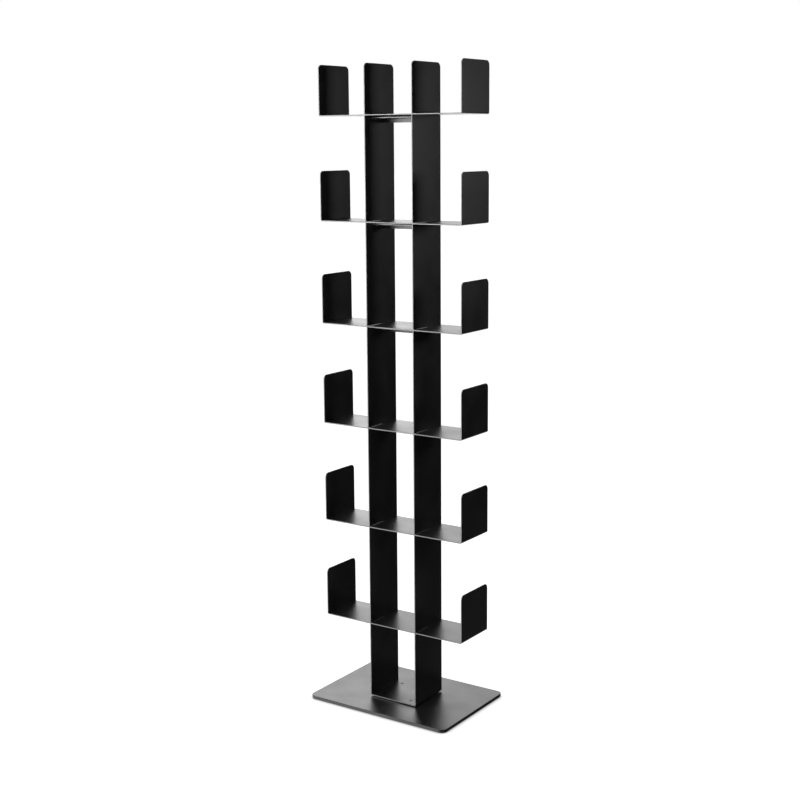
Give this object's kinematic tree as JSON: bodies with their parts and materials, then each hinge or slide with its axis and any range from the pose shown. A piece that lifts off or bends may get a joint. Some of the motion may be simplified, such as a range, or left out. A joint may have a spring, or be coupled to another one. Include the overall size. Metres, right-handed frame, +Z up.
{
  "type": "spine bookshelf",
  "caption": "Tall free-standing steel bookshelf: slotted shelves with upturned ends cross two folded spines on a heavy base plate.",
  "frame": {"origin": "on the floor, under the middle of the base plate", "axes": "+X along the shelves, front faces -Y, +Z up"},
  "size_m": [0.5, 0.35, 1.949],
  "materials": {
    "sheet_paint": "satin black powder coat",
    "base_paint": "satin black powder coat",
    "screw_steel": "black oxide",
    "nut_steel": "black oxide",
    "glide_rubber": "matt",
    "strip_rubber": "matt"
  },
  "bodies": {
    "frame": {"base_plate": "base_paint", "spine_frame": "sheet_paint", "base_screws": "screw_steel", "foot_nuts": "nut_steel", "glide_front_left": "glide_rubber", "glide_front_right": "glide_rubber", "glide_back_left": "glide_rubber", "glide_back_right": "glide_rubber", "brace_1": "sheet_paint", "brace_2": "sheet_paint", "brace_3": "sheet_paint", "brace_4": "sheet_paint", "brace_5": "sheet_paint", "brace_6": "sheet_paint", "rest_strip_1": "strip_rubber", "rest_strip_2": "strip_rubber", "rest_strip_3": "strip_rubber", "rest_strip_4": "strip_rubber", "rest_strip_5": "strip_rubber", "rest_strip_6": "strip_rubber"},
    "shelf_1": {"shelf_1": "sheet_paint"},
    "shelf_2": {"shelf_2": "sheet_paint"},
    "shelf_3": {"shelf_3": "sheet_paint"},
    "shelf_4": {"shelf_4": "sheet_paint"},
    "shelf_5": {"shelf_5": "sheet_paint"},
    "shelf_6": {"shelf_6": "sheet_paint"}
  },
  "joints": [
    {"name": "shelf_1_slide", "type": "slide", "parent": "frame", "child": "shelf_1", "axis": [0, -1, 0], "range_m": [0, 0.075]},
    {"name": "shelf_2_slide", "type": "slide", "parent": "frame", "child": "shelf_2", "axis": [0, -1, 0], "range_m": [0, 0.075]},
    {"name": "shelf_3_slide", "type": "slide", "parent": "frame", "child": "shelf_3", "axis": [0, -1, 0], "range_m": [0, 0.075]},
    {"name": "shelf_4_slide", "type": "slide", "parent": "frame", "child": "shelf_4", "axis": [0, -1, 0], "range_m": [0, 0.075]},
    {"name": "shelf_5_slide", "type": "slide", "parent": "frame", "child": "shelf_5", "axis": [0, -1, 0], "range_m": [0, 0.075]},
    {"name": "shelf_6_slide", "type": "slide", "parent": "frame", "child": "shelf_6", "axis": [0, -1, 0], "range_m": [0, 0.075]}
  ]
}
